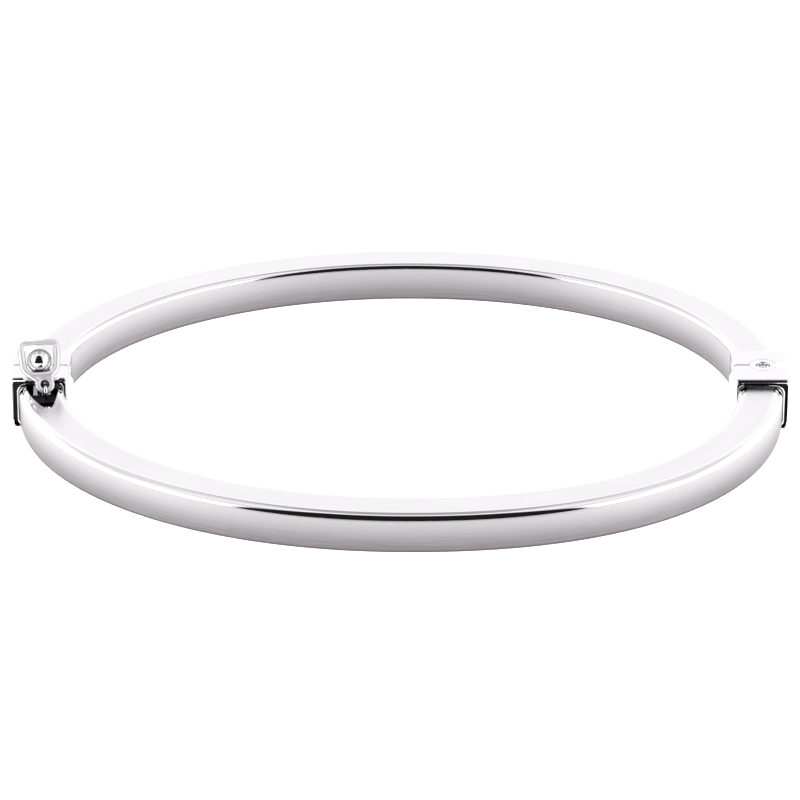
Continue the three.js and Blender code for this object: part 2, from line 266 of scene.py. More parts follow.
def loft(name, rings, closed=False):
    """A solid through rings of equally many points, with flat ends or joined into a loop."""
    bm = bmesh.new()
    rows = [[bm.verts.new(point) for point in ring] for ring in rings]
    count = len(rows[0])
    pairs = list(zip(rows, rows[1:]))
    if closed:
        pairs.append((rows[-1], rows[0]))
    for first, second in pairs:
        for k in range(count):
            after = (k + 1) % count
            bm.faces.new((first[k], first[after], second[after], second[k]))
    if not closed:
        bm.faces.new(rows[0][::-1])
        bm.faces.new(rows[-1])
    return new_object(name, bm)


def lathe(name, profile, centre, sides=64):
    """A solid of revolution about the vertical through centre; profile is (radius, height)."""
    rings = []
    for radius, height in profile:
        ring = []
        for k in range(sides):
            angle = 2 * math.pi * k / sides
            offset = Vector((radius * math.cos(angle), radius * math.sin(angle), height))
            ring.append(centre + offset)
        rings.append(ring)
    return loft(name, rings)


def wire(name, points, radius, closed=False, sides=20):
    """A round wire through points. radius is one number or one for each point."""
    radii = radius if isinstance(radius, (list, tuple)) else [radius] * len(points)
    count = len(points)
    rings = []
    normal = None
    for i, point in enumerate(points):
        before = points[i - 1] if i or closed else point
        after = points[(i + 1) % count] if i + 1 < count or closed else point
        tangent = (after - before).normalized()
        if normal is None:
            normal = tangent.orthogonal().normalized()
        normal = (normal - tangent * normal.dot(tangent)).normalized()
        side = tangent.cross(normal)
        ring = []
        for k in range(sides):
            angle = 2 * math.pi * k / sides
            ring.append(point + radii[i] * (math.cos(angle) * normal + math.sin(angle) * side))
        rings.append(ring)
    return loft(name, rings, closed)


def baked(piece):
    """piece with its modifiers applied."""
    bpy.context.view_layer.update()
    evaluated = piece.evaluated_get(bpy.context.evaluated_depsgraph_get())
    mesh = bpy.data.meshes.new_from_object(evaluated)
    piece.modifiers.clear()
    piece.data = mesh
    return piece


def cut(piece, cutters):
    """piece with the solids in cutters taken out of it."""
    for cutter in cutters:
        modifier = piece.modifiers.new("cut", "BOOLEAN")
        modifier.operation = "DIFFERENCE"
        modifier.solver = "EXACT"
        modifier.object = cutter
    baked(piece)
    for cutter in cutters:
        bpy.data.objects.remove(cutter)
    return piece


# Edges that turn by more degrees than this stay sharp.
HARD_EDGE = 15
SOFT_EDGE = 50
ALL_SMOOTH = 80


def sharpen(mesh, degrees):
    """Smooth shading, with edges over the angle kept sharp."""
    bm = bmesh.new()
    bm.from_mesh(mesh)
    limit = math.radians(degrees)
    for face in bm.faces:
        face.smooth = True
    for edge in bm.edges:
        edge.smooth = len(edge.link_faces) == 2 and edge.calc_face_angle(0) < limit
    bm.to_mesh(mesh)
    bm.free()


def place(piece, body, nodes, materials, degrees=HARD_EDGE):
    """Finishes a piece: its shading, size, materials, body and the CAD nodes it replaces."""
    sharpen(piece.data, degrees)
    piece.data.transform(Matrix.Scale(MM, 4))
    if not piece.data.materials:
        for material in materials:
            piece.data.materials.append(material)
    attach(piece, body)
    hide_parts(*nodes)
    return piece


# ---- materials --------------------------------------------------------------------------------

class Nodes:
    """Short ways to add shader nodes to a tree."""

    def __init__(self, tree):
        self.tree = tree
        tree.nodes.clear()

    def add(self, kind, inputs=(), **settings):
        node = self.tree.nodes.new(kind)
        for name, value in settings.items():
            setattr(node, name, value)
        for socket, value in dict(inputs).items():
            self.put(node.inputs[socket], value)
        return node

    def put(self, socket, value):
        if isinstance(value, bpy.types.NodeSocket):
            self.tree.links.new(value, socket)
        else:
            socket.default_value = value

    def math(self, operation, *values):
        node = self.tree.nodes.new("ShaderNodeMath")
        node.operation = operation
        for socket, value in zip(node.inputs, values):
            self.put(socket, value)
        return node.outputs[0]

    def ramp(self, value, low, high, start=0.0, end=1.0):
        """start below low, end above high, and smooth between them."""
        inputs = {"Value": value, "From Min": low, "From Max": high, "To Min": start, "To Max": end}
        return self.add("ShaderNodeMapRange", inputs, interpolation_type="SMOOTHSTEP").outputs[0]

    def mix_value(self, factor, first, second):
        node = self.add("ShaderNodeMix", data_type="FLOAT")
        self.put(node.inputs["Factor"], factor)
        self.put(node.inputs["A"], first)
        self.put(node.inputs["B"], second)
        return node.outputs["Result"]

    def noise(self, vector, scale, detail=2.0):
        inputs = {"Vector": vector, "Scale": scale, "Detail": detail}
        return self.add("ShaderNodeTexNoise", inputs).outputs["Fac"]

    def mix(self, factor, first, second):
        node = self.add("ShaderNodeMix", data_type="RGBA")
        self.put(node.inputs["Factor"], factor)
        self.put(node.inputs["A"], first)
        self.put(node.inputs["B"], second)
        return node.outputs["Result"]


def material_tree(name):
    material = bpy.data.materials.new(name)
    material.use_nodes = True
    nodes = Nodes(material.node_tree)
    shader = nodes.add("ShaderNodeBsdfPrincipled", {"Metallic": 1.0})
    output = nodes.add("ShaderNodeOutputMaterial")
    nodes.tree.links.new(shader.outputs[0], output.inputs[0])
    return material, nodes, shader


SILVER = (0.955, 0.95, 0.96, 1)
SILVER_WORN = (0.90, 0.89, 0.905, 1)
# Tones of the brushed faces, painted shade: lighter at the top, darker towards the bottom, darkest at
# the foot.
SATIN_PAINTED_LIT_TOP = (0.62, 0.60, 0.615, 1)
SATIN_PAINTED_HALF_SHADE = (0.42, 0.395, 0.415, 1)
SATIN_PAINTED_SHADE = (0.24, 0.222, 0.235, 1)
SATIN_PAINTED_FOOT_SHADOW = (0.09, 0.08, 0.085, 1)
# Near-black tones of painted shade, for the insides of mouths and joints and for the small fittings'
# turned-away rims.
PAINTED_SHADE_BLACK = (0.012, 0.011, 0.012, 1)
PAINTED_SHADE_DARK = (0.05, 0.045, 0.05, 1)
# The brushing stops within this much outside and inside the edge of a face.
BRUSH_OUTSIDE = 0.03
BRUSH_INSIDE = 0.02
# The share of an edge's rounding that stays polished, above and below a brushed face.
POLISHED_ABOVE = 0.74
POLISHED_BELOW = 0.5
# How far up a brushed face the painted shadow at its foot reaches.
PAINTED_FOOT_SHADOW_HEIGHT = 0.3
TOP_BLEND = 0.25
TOP_ROUGHER = 0.24
POLISH_ROUGH = 0.02
SATIN_ROUGH = 0.36
SATIN_ANISOTROPY = 0.75


def bright_silver(name):
    """Polished silver with faint hairlines and patches of handling."""
    material, nodes, shader = material_tree(name)
    place_of = nodes.add("ShaderNodeTexCoord").outputs["Object"]
    patches = nodes.noise(place_of, 260.0, 3.0)
    fine = nodes.noise(place_of, 3600.0, 4.0)
    nodes.put(shader.inputs["Base Color"], nodes.mix(patches, SILVER, SILVER_WORN))
    rough = nodes.math("MULTIPLY_ADD", patches, 0.03, 0.02)
    nodes.put(shader.inputs["Roughness"], rough)
    bump = nodes.add("ShaderNodeBump", {"Strength": 0.02, "Distance": 0.00001, "Height": fine})
    nodes.put(shader.inputs["Normal"], bump.outputs[0])
    return material


def small_silver(name, metallic, roughness):
    """Tumbled silver of the small fittings: bright in front, with painted shade where the metal turns
    away.
    """
    material, nodes, shader = material_tree(name)
    place_of = nodes.add("ShaderNodeTexCoord").outputs["Object"]
    patches = nodes.noise(place_of, 700.0, 3.0)
    # Painted shade: the metal goes dark where it turns away from the view.
    facing = nodes.add("ShaderNodeLayerWeight", {"Blend": 0.5}).outputs["Facing"]
    turned = nodes.ramp(facing, 0.3, 0.7)
    silver = nodes.mix(patches, SILVER, SILVER_WORN)
    nodes.put(shader.inputs["Base Color"], nodes.mix(turned, silver, PAINTED_SHADE_DARK))
    nodes.put(shader.inputs["Roughness"], nodes.math("MULTIPLY_ADD", patches, 0.06, roughness))
    shader.inputs["Metallic"].default_value = metallic
    return material


def painted_recess_shade(name):
    """Painted shade: nearly black, unpolished metal deep in a mouth or a joint."""
    material, nodes, shader = material_tree(name)
    place_of = nodes.add("ShaderNodeTexCoord").outputs["Object"]
    patches = nodes.noise(place_of, 900.0, 4.0)
    nodes.put(shader.inputs["Base Color"], nodes.mix(patches, PAINTED_SHADE_BLACK, PAINTED_SHADE_DARK))
    nodes.put(shader.inputs["Roughness"], nodes.math("MULTIPLY_ADD", patches, 0.3, 0.35))
    return material


def satin_tube(name, faces, top_face, perimeter):
    """Brushed lengthwise on the inner and outer faces, polished on the edges, top and underside, with
    painted shade on the brushed faces, darker towards the bottom.

    The UV map holds millimetres: along the tube, and round its section from the outer face's middle.
    faces holds, for the outer and the inner face, its middle, how far it reaches before and past it,
    and 1 or -1 for whether the map rises or falls with height there. top_face holds the middle and the
    half width of the flat top, which is less brightly polished than the edges.
    """
    material, nodes, shader = material_tree(name)
    uv = nodes.add("ShaderNodeUVMap", uv_map="Brush").outputs[0]
    parts = nodes.add("ShaderNodeSeparateXYZ", {"Vector": uv})
    along, around = parts.outputs[0], parts.outputs[1]
    wrapped = nodes.math("WRAP", around, perimeter * 0.75, -perimeter * 0.25)
    brushed = 0.0
    upward = 0.0
    for middle_of_face, below, above, rising in faces:
        offset = nodes.math("SUBTRACT", wrapped, middle_of_face)
        rises = nodes.ramp(offset, -below - BRUSH_OUTSIDE, -below + BRUSH_INSIDE)
        falls = nodes.ramp(offset, above - BRUSH_INSIDE, above + BRUSH_OUTSIDE, 1.0, 0.0)
        on_face = nodes.math("MULTIPLY", rises, falls)
        brushed = nodes.math("ADD", on_face, brushed)
        upward = nodes.math("MULTIPLY_ADD", nodes.math("MULTIPLY", offset, rising), on_face, upward)

    def streaks(stretch, across, detail):
        vector = nodes.add("ShaderNodeCombineXYZ", {
            "X": nodes.math("MULTIPLY", along, stretch),
            "Y": nodes.math("MULTIPLY", around, across),
        }).outputs[0]
        return nodes.noise(vector, 1.0, detail)

    fine = streaks(0.55, 34.0, 3.0)
    broad = streaks(0.16, 5.0, 2.0)
    cloud = streaks(0.12, 0.35, 1.0)
    grain = nodes.math("ADD", nodes.math("MULTIPLY", fine, 0.55), nodes.math("MULTIPLY", broad, 0.45))
    shade = nodes.ramp(grain, 0.36, 0.64)
    # Painted shade: each brushed face is lighter at the top, darker towards the bottom and darkest in
    # a narrow band at its foot.
    shade_by_height = nodes.ramp(upward, -face_below, face_below)
    deep = nodes.mix(shade_by_height, SATIN_PAINTED_SHADE, SATIN_PAINTED_LIT_TOP)
    light = nodes.mix(shade_by_height, SATIN_PAINTED_HALF_SHADE, SATIN_PAINTED_LIT_TOP)
    painted_shade_tone = nodes.mix(nodes.math("MULTIPLY", shade, 0.5), deep, light)
    foot_shadow_mask = nodes.ramp(upward, -face_below, PAINTED_FOOT_SHADOW_HEIGHT - face_below)
    satin = nodes.mix(foot_shadow_mask, SATIN_PAINTED_FOOT_SHADOW, painted_shade_tone)
    shine = nodes.mix(cloud, SILVER, SILVER_WORN)
    nodes.put(shader.inputs["Base Color"], nodes.mix(brushed, shine, satin))
    satin_rough = nodes.math("MULTIPLY_ADD", grain, 0.15, SATIN_ROUGH)
    beyond_top = nodes.math("ABSOLUTE", nodes.math("SUBTRACT", wrapped, top_face[0]))
    on_top = nodes.ramp(beyond_top, top_face[1] - TOP_BLEND, top_face[1], 1.0, 0.0)
    edge_rough = nodes.math("MULTIPLY_ADD", cloud, 0.02, POLISH_ROUGH)
    polish_rough = nodes.math("MULTIPLY_ADD", on_top, TOP_ROUGHER, edge_rough)
    spread = nodes.math("SUBTRACT", satin_rough, polish_rough)
    rough = nodes.math("MULTIPLY_ADD", brushed, spread, polish_rough)
    nodes.put(shader.inputs["Roughness"], rough)
    tangent = nodes.add("ShaderNodeTangent", direction_type="UV_MAP", uv_map="Brush").outputs[0]
    nodes.put(shader.inputs["Tangent"], tangent)
    nodes.put(shader.inputs["Anisotropic"], nodes.math("MULTIPLY", brushed, SATIN_ANISOTROPY))
    shader.inputs["Anisotropic Rotation"].default_value = 0.25
    height = nodes.math("MULTIPLY", grain, brushed)
    bump = nodes.add("ShaderNodeBump", {"Strength": 0.35, "Distance": 0.00002, "Height": height})
    nodes.put(shader.inputs["Normal"], bump.outputs[0])
    return material


TUBE_EDGES = (TUBE_EDGE_OUTER, TUBE_EDGE_INNER, TUBE_EDGE_BELOW, TUBE_EDGE_BELOW)
section = rounded_section(TUBE_WIDTH, tube_height, TUBE_EDGES)
section_length = [0.0]
for first, second in zip(section, section[1:] + section[:1]):
    section_length.append(section_length[-1] + math.dist(first, second))
inner_middle = section_length[section.index((-TUBE_WIDTH / 2, 0.0))]
face_below = tube_height / 2 - TUBE_EDGE_BELOW * POLISHED_BELOW
brushed_faces = [
    (0.0, face_below, tube_height / 2 - TUBE_EDGE_OUTER * POLISHED_ABOVE, 1),
    (inner_middle, tube_height / 2 - TUBE_EDGE_INNER * POLISHED_ABOVE, face_below, -1),
]

bright = bright_silver("bright_silver")
shade_material = painted_recess_shade("painted_recess_shade")
ball_silver = small_silver("ball_silver", 1.0, 0.07)
wire_silver = small_silver("wire_silver", 0.45, 0.3)
top_width = TUBE_WIDTH - TUBE_EDGE_OUTER - TUBE_EDGE_INNER
top_start = tube_height / 2 - TUBE_EDGE_OUTER + TUBE_EDGE_OUTER * math.pi / 2
top_face = (top_start + top_width / 2, top_width / 2)
satin = satin_tube("satin_silver", brushed_faces, top_face, perimeter=section_length[-1])


# ---- tubes ------------------------------------------------------------------------------------

def ring_path(side, start, count):
    """Evenly spaced (point, outward, distance) along a half ring, from hinge to clasp.

    start is how far from the seam both ends are.
    """
    sign = 1 if side == "back" else -1
    depth = ring_depth[side]
    powers = [2 / n for n in SQUARENESS[side]]
    first = math.asin((start / depth) ** (1 / powers[0]))
    last = math.pi - math.asin((start / depth) ** (1 / powers[1]))

    def point(t):
        angle = first + (last - first) * t
        hinge_side = math.cos(angle) > 0
        power = powers[0] if hinge_side else powers[1]
        reach = (hinge_x if hinge_side else clasp_x) - WIDEST_X
        x = WIDEST_X + reach * abs(math.cos(angle)) ** power
        y = seam_y + sign * depth * math.sin(angle) ** power
        return Vector((x, y, mid_z))

    fine = [point(i / TUBE_FINE_STEPS) for i in range(TUBE_FINE_STEPS + 1)]
    lengths = [0.0]
    for a, b in zip(fine, fine[1:]):
        lengths.append(lengths[-1] + (b - a).length)
    stations = []
    j = 0
    for i in range(count):
        target = lengths[-1] * i / (count - 1)
        while j < len(lengths) - 2 and lengths[j + 1] < target:
            j += 1
        share = (target - lengths[j]) / (lengths[j + 1] - lengths[j])
        place_on = fine[j].lerp(fine[j + 1], share)
        tangent = (fine[min(j + 2, TUBE_FINE_STEPS)] - fine[max(j - 1, 0)]).normalized()
        outward = Vector((tangent.y, -tangent.x, 0)) * sign
        stations.append((place_on, outward, target))
    return stations


def tube_start(side):
    """How near to the seam the tube comes."""
    low, high = box(f"{side}_tube")
    return low.y - seam_y if side == "back" else seam_y - high.y


def section_ring(station, width, height, radius):
    place_on, outward, _ = station
    return [
        place_on + outward * across + Vector((0, 0, up))
        for across, up in rounded_section(width, height, radius)
    ]


def tube(side):
    stations = ring_path(side, tube_start(side), TUBE_STATIONS)
    outer = [section_ring(s, TUBE_WIDTH, tube_height, TUBE_EDGES) for s in stations]
    bore_width, bore_height = TUBE_WIDTH - 2 * TUBE_WALL, tube_height - 2 * TUBE_WALL
    inner = [section_ring(s, bore_width, bore_height, TUBE_WALL / 3) for s in stations]
    bm = bmesh.new()
    uv = bm.loops.layers.uv.new("Brush")
    count = len(section)
    skins = [[[bm.verts.new(p) for p in ring] for ring in rows] for rows in (outer, inner)]

    def quad(corners, coordinates, material):
        face = bm.faces.new(corners)
        face.material_index = material
        for loop, place_on in zip(face.loops, coordinates):
            loop[uv].uv = place_on

    for i in range(len(stations) - 1):
        near, far = stations[i][2], stations[i + 1][2]
        for k in range(count):
            after = (k + 1) % count
            low, high = section_length[k], section_length[k + 1]
            uvs = [(near, low), (near, high), (far, high), (far, low)]
            for skin, material in zip(skins, (0, 1)):
                corners = (skin[i][k], skin[i][after], skin[i + 1][after], skin[i + 1][k])
                quad(corners, uvs, material)
    for i in (0, -1):
        for k in range(count):
            after = (k + 1) % count
            corners = (skins[0][i][k], skins[0][i][after], skins[1][i][after], skins[1][i][k])
            quad(corners, [(0, 0)] * 4, 1)
    piece = new_object(f"{side}_tube_skin", bm)
    # The outer skin is brushed satin; the bore and the end caps take the painted black shade.
    piece.data.materials.append(satin)
    piece.data.materials.append(shade_material)
    return piece


def smooth_line(points, steps):
    """A Catmull-Rom line through points, without its first and last span."""
    line = []
    for i in range(1, len(points) - 2):
        a, b, c, d = (Vector(points[j]) for j in (i - 1, i, i + 1, i + 2))
        for step in range(steps):
            t = step / steps
            line.append(0.5 * (2 * b + (c - a) * t + (2 * a - 5 * b + 4 * c - d) * t * t
                               + (3 * b - a - 3 * c + d) * t ** 3))
    return line


def catch_notch():
    """The solid that cuts the notch in the front tube's top wall, round the catch's staple."""
    outline = smooth_line(NOTCH, NOTCH_LINE_STEPS)
    inward = sum(outline, Vector((0, 0))) / len(outline)
    top = mid_z + tube_height / 2
    rings = []
    levels = ((0, top - 2 * TUBE_WALL), (0, top - NOTCH_CHAMFER), (NOTCH_CHAMFER, top),
              (2 * NOTCH_CHAMFER, top + NOTCH_CHAMFER))
    for grow, z in levels:
        ring = []
        for point in outline:
            shifted = point + (point - inward).normalized() * grow
            ring.append(Vector((pivot.x + shifted.x, pivot.y + shifted.y, z)))
        rings.append(ring)
    return loft("notch", rings)


pivot, swing_axis = joint_place("catch_swing")
place(tube("back"), "back_half", ["back_tube"], [])
front_tube = cut(tube("front"), [catch_notch()])
place(front_tube, "front_half", ["front_tube"], [])


# ---- collars ----------------------------------------------------------------------------------

def end_profile(rounding, slope=0.0, slope_angle=45, steps=12):
    """(along, inward) points of a bar's end, from its end face to its side, with a slope between."""
    points = [Vector((0.0, 0.0))]
    for step in range(steps):
        angle = 90 * (1 - (step + 0.5) / steps)
        length = rounding * math.radians(90 / steps)
        if angle > slope_angle > angle - 90 / steps:
            length += slope
        along, inward = math.cos(math.radians(angle)), math.sin(math.radians(angle))
        points.append(points[-1] + Vector((along, -inward)) * length)
    deepest = -points[-1].y
    return [(point.x, point.y + deepest) for point in points] + [(points[-1].x + SUPPORT, 0.0)]


def block(name, centre, width, height, near, far, radius, near_end, far_end):
    """A rounded bar along y between two end profiles."""
    stations = [(near + along, inward) for along, inward in near_end]
    stations += [(far - along, inward) for along, inward in reversed(far_end)]
    rings = []
    for y, inset in stations:
        corner = max(radius - inset * CORNER_SHRINK, LEAST_CORNER)
        ring_section = rounded_section(width - 2 * inset, height - 2 * inset, corner)
        rings.append([Vector((centre.x + a, y, centre.z + b)) for a, b in ring_section])
    return loft(name, rings)


def socket_cutter(centre, width, height, mouth, depth, sign):
    """The hollow of a collar, from its mouth inward, chamfered at the rim."""
    rings = []
    for inward, grow in ((-0.5, 0.5 + RIM_FLARE), (0.0, RIM_FLARE), (RIM_FLARE, 0.0), (depth, 0.0)):
        ring_section = rounded_section(width + 2 * grow, height + 2 * grow, SOCKET_EDGE + grow)
        y = mouth - sign * inward
        rings.append([Vector((centre.x + a, y, centre.z + b)) for a, b in ring_section])
    return loft("socket", rings)


def upright_cutter(x, y, radius, low, high, chamfer=BORE_CHAMFER):
    """An upright hole from low to high, chamfered at both ends."""
    profile = [
        (radius + 2 * chamfer, low - chamfer), (radius, low + chamfer),
        (radius, high - chamfer), (radius + 2 * chamfer, high + chamfer),
    ]
    return lathe("groove", profile, Vector((x, y, 0)))


def relief_cutter():
    """The wedge off both hinge collars' outer corners that lets the front half swing."""
    opening = joints["main_hinge"]["range_deg"][1]
    reach = 6.0
    half = reach * math.tan(math.radians(opening + SWING_SPARE) / 2)
    outline = [(0, 0), (reach, -half), (reach, half)]
    rings = []
    for z in (-1.0, collar_top + 1.0):
        rings.append([Vector((pin.x + x, pin.y + y, z)) for x, y in outline])
    return loft("relief", rings)


def stem_slot_cutter():
    """The slot in the box's top for the thumb piece's stem, open to the seam."""
    end = ball.y - STEM_SLOT_END
    steps = 16
    levels = (
        (collar_top - 1.0, 0), (collar_top - BORE_CHAMFER, 0),
        (collar_top + BORE_CHAMFER, 2 * BORE_CHAMFER),
    )
    rings = []
    for z, grow in levels:
        half = STEM_SLOT_HALF + grow
        ring = [Vector((ball.x + half, seam_y + 1, z))]
        for step in range(steps + 1):
            angle = -math.pi * step / steps
            ring.append(Vector((ball.x + half * math.cos(angle), end + half * math.sin(angle), z)))
        ring.append(Vector((ball.x - half, seam_y + 1, z)))
        rings.append(ring)
    return loft("slot", rings)


def box_bore_cutter(near, far):
    """The clasp box's bore, in which the tongue slides."""
    centre = Vector((clasp_x, 0, (BOX_BORE_LOW + BOX_BORE_HIGH) / 2))
    ends = [end_profile(SHARP_END)] * 2
    height = BOX_BORE_HIGH - BOX_BORE_LOW
    return block("bore", centre, BOX_BORE_WIDTH, height, near, far, BOX_BORE_EDGE, *ends)


def collar(side, end):
    """A collar with its hollow. Returns what its flange needs to know of it."""
    node = collar_nodes[side, end]
    low, high = box(node)
    sign = 1 if side == "back" else -1
    x = hinge_x if end == "hinge" else clasp_x
    width = high.x - low.x
    height = collar_top - low.z
    centre = Vector((x, 0, (collar_top + low.z) / 2))
    mouth_end = end_profile(MOUTH_ROUND, MOUTH_SLOPE[side, end], MOUTH_SLOPE_ANGLE)
    seam_end = end_profile(SEAM_ROUND)
    ends = (seam_end, mouth_end) if sign > 0 else (mouth_end, seam_end)
    piece = block(node + "_body", centre, width, height, low.y, high.y, COLLAR_EDGE, *ends)
    mouth = high.y if sign > 0 else low.y
    depth = abs(mouth - seam_y) - SOCKET_FLOOR[side, end]
    hollow = (width - 2 * COLLAR_WALL, height - 2 * COLLAR_WALL)
    cutters = [socket_cutter(centre, *hollow, mouth, depth, sign)]
    if end == "hinge":
        groove = knuckle_radius + GROOVE_CLEARANCE
        cutters.append(upright_cutter(pin.x, pin.y, groove, low.z, collar_top, GROOVE_CHAMFER))
        cutters.append(relief_cutter())
    if (side, end) == ("front", "clasp"):
        cutters.append(box_bore_cutter(low.y - 1, high.y + 1))
        cutters.append(stem_slot_cutter())
    cut(piece, cutters)
    paint_shade_in_hollows(piece, centre, hollow, mouth, sign)
    place(piece, f"{side}_half", [node], [])
    return centre, hollow, mouth, sign


def paint_shade_in_hollows(piece, centre, hollow, mouth, sign):
    """Gives the faces inside the mouth, below its rim, the painted black shade."""
    piece.data.materials.clear()
    piece.data.materials.append(bright)
    piece.data.materials.append(shade_material)
    half_width = hollow[0] / 2 + RECESS_MARGIN
    half_height = hollow[1] / 2 + RECESS_MARGIN
    for face in piece.data.polygons:
        offset = face.center - centre
        inside = abs(offset.x) < half_width and abs(offset.z) < half_height
        behind_rim = sign * (mouth - face.center.y) > RIM_FLARE
        from_seam = abs(face.center.y - seam_y) > SEAM_MARGIN
        face.material_index = 1 if inside and behind_rim and from_seam else 0


def flange(side, end, centre, hollow, mouth, sign):
    """A plate painted black as shade across the mouth's hollow, and a thin bright lip round the tube
    where it leaves.
    """
    node = f"{side}_{end}_flange"
    faces = (mouth - sign * PLATE_RECESS, mouth - sign * (PLATE_RECESS + PLATE_THICKNESS))
    plate_size = (hollow[0] - 2 * PLATE_GAP, hollow[1] - 2 * PLATE_GAP)
    ends = [end_profile(SHARP_END)] * 2
    plate = block(f"{side}_{end}_plate", centre, *plate_size, *sorted(faces), PLATE_EDGE, *ends)
    distance = abs(mouth - seam_y)
    path = ring_path(side, distance - LIP_PATH_START, LIP_PATH_STATIONS)
    stations = path[:LIP_PATH_STATIONS // 5] if end == "hinge" else path[-LIP_PATH_STATIONS // 5:]
    cleared = (TUBE_WIDTH + PLATE_FIT, tube_height + PLATE_FIT, TUBE_EDGES)
    envelope = loft("envelope", [section_ring(station, *cleared) for station in stations])
    cut(plate, [envelope])
    lip_distance = distance - LIP_INSIDE_MOUTH
    nearest = min(stations, key=lambda station: abs(abs(station[0].y - seam_y) - lip_distance))
    grow = 2 * LIP_CLEARANCE
    lip_line = section_ring(nearest, TUBE_WIDTH + grow, tube_height + grow, TUBE_EDGES)
    lip = wire(f"{side}_{end}_lip", lip_line, LIP_WIRE, True, LIP_SIDES)
    # The plate is painted black as shade.
    plate.data.materials.clear()
    plate.data.materials.append(shade_material)
    place(plate, f"{side}_half", [node], [])
    place(lip, f"{side}_half", [node], [bright])


for (side, end) in collar_nodes:
    flange(side, end, *collar(side, end))


# ---- hinge ------------------------------------------------------------------------------------

def rounded_disc(radius, low, high, rounding):
    """Profile of a short cylinder with rounded rims, from its underside's middle to its top's."""
    steps = 8
    angles = [math.pi / 2 * step / steps for step in range(steps + 1)]
    profile = [(AXIS_RADIUS, low)]
    for angle in angles:
        inward, up = 1 - math.sin(angle), 1 - math.cos(angle)
        profile.append((radius - rounding * inward, low + rounding * up))
    for angle in angles:
        inward, down = 1 - math.cos(angle), 1 - math.sin(angle)
        profile.append((radius - rounding * inward, high - rounding * down))
    profile.append((AXIS_RADIUS, high))
    return profile


def node_body(node):
    return frame["nodes"][node]["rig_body"]


def knuckle(level):
    node = f"hinge_knuckle_{level}"
    low, high = box(node)
    profile = rounded_disc(knuckle_radius, low.z, high.z, KNUCKLE_ROUND)
    piece = lathe(node + "_body", profile, Vector((pin.x, pin.y, 0)))
    hole = upright_cutter(pin.x, pin.y, pin_radius + KNUCKLE_BORE_GAP, low.z, high.z)
    cut(piece, [hole])
    place(piece, node_body(node), [node], [bright])


def hinge_pin():
    low, high = box("hinge_pin")
    profile = rounded_disc(pin_radius, low.z, high.z, PIN_ROUND)
    piece = lathe("hinge_pin_body", profile, Vector((pin.x, pin.y, 0)))
    dimples = [
        upright_cutter(pin.x, pin.y, PIN_EYELET, end - PIN_EYELET_DEPTH, end + PIN_EYELET_DEPTH)
        for end in (low.z, high.z)
    ]
    cut(piece, dimples)
    place(piece, node_body("hinge_pin"), ["hinge_pin"], [bright])


for level in ("bottom", "middle", "top"):
    knuckle(level)
hinge_pin()


# ---- thumb piece ------------------------------------------------------------------------------

def thumb_piece():
    """The ball and its stem, turned as one."""
    stem_low, stem_high = box("thumb_stem")
    stem_radius = (stem_high.x - stem_low.x) / 2
    foot_chamfer = 0.04
    below_fillet = 0.1
    pole_gap = 0.02
    profile = [
        (AXIS_RADIUS, stem_low.z), (stem_radius - foot_chamfer, stem_low.z),
        (stem_radius, stem_low.z + foot_chamfer),
    ]
    fillet_steps = 8
    ball_steps = 40
    flare = stem_radius + STEM_FILLET
    join = ball.z - math.sqrt(ball_radius ** 2 - flare ** 2)
    profile.append((stem_radius, join - STEM_FILLET - below_fillet))
    for step in range(1, fillet_steps + 1):
        angle = math.pi / 2 * step / fillet_steps
        out, down = 1 - math.cos(angle), 1 - math.sin(angle)
        profile.append((stem_radius + STEM_FILLET * out, join - STEM_FILLET * down))
    start = math.asin(flare / ball_radius)
    stop = math.pi - pole_gap
    for step in range(1, ball_steps + 1):
        angle = start + (stop - start) * step / ball_steps
        profile.append((ball_radius * math.sin(angle), ball.z - ball_radius * math.cos(angle)))
    piece = lathe("thumb_ball_and_stem", profile, Vector((ball.x, ball.y, 0)), sides=72)
    place(piece, node_body("thumb_ball"), ["thumb_ball", "thumb_stem"], [ball_silver],
          degrees=SOFT_EDGE)


thumb_piece()


# ---- safety catch -----------------------------------------------------------------------------

def rounded_loop(corners, steps=10):
    """A closed line through corners (across, up, radius), each rounded by its radius."""
    points = []
    count = len(corners)
    for i, (across, up, radius) in enumerate(corners):
        here = Vector((across, up))
        before = Vector(corners[i - 1][:2])
        after = Vector(corners[(i + 1) % count][:2])
        to_before, to_after = (before - here).normalized(), (after - here).normalized()
        half = math.acos(max(-1, min(1, to_before.dot(to_after)))) / 2
        reach = radius / math.tan(half)
        start, stop = here + to_before * reach, here + to_after * reach
        for step in range(steps + 1):
            t = step / steps
            points.append(start * (1 - t) ** 2 + here * 2 * t * (1 - t) + stop * t ** 2)
    return points


catch_across = Vector((-swing_axis.x, -swing_axis.y, 0)).normalized()
catch_back = Vector((-catch_across.y, catch_across.x, 0))
catch_up = catch_back * math.sin(CATCH_LEAN) + Vector((0, 0, math.cos(CATCH_LEAN)))


def in_catch(across, up):
    return pivot + catch_across * across + catch_up * up


def dense(points, count):
    """The closed line through points, again, as evenly spaced ones."""
    loop = points + [points[0]]
    lengths = [0.0]
    for a, b in zip(loop, loop[1:]):
        lengths.append(lengths[-1] + (b - a).length)
    made = []
    j = 0
    for i in range(count):
        target = lengths[-1] * i / count
        while lengths[j + 1] < target:
            j += 1
        span = lengths[j + 1] - lengths[j]
        made.append(loop[j].lerp(loop[j + 1], (target - lengths[j]) / span if span else 0))
    return made


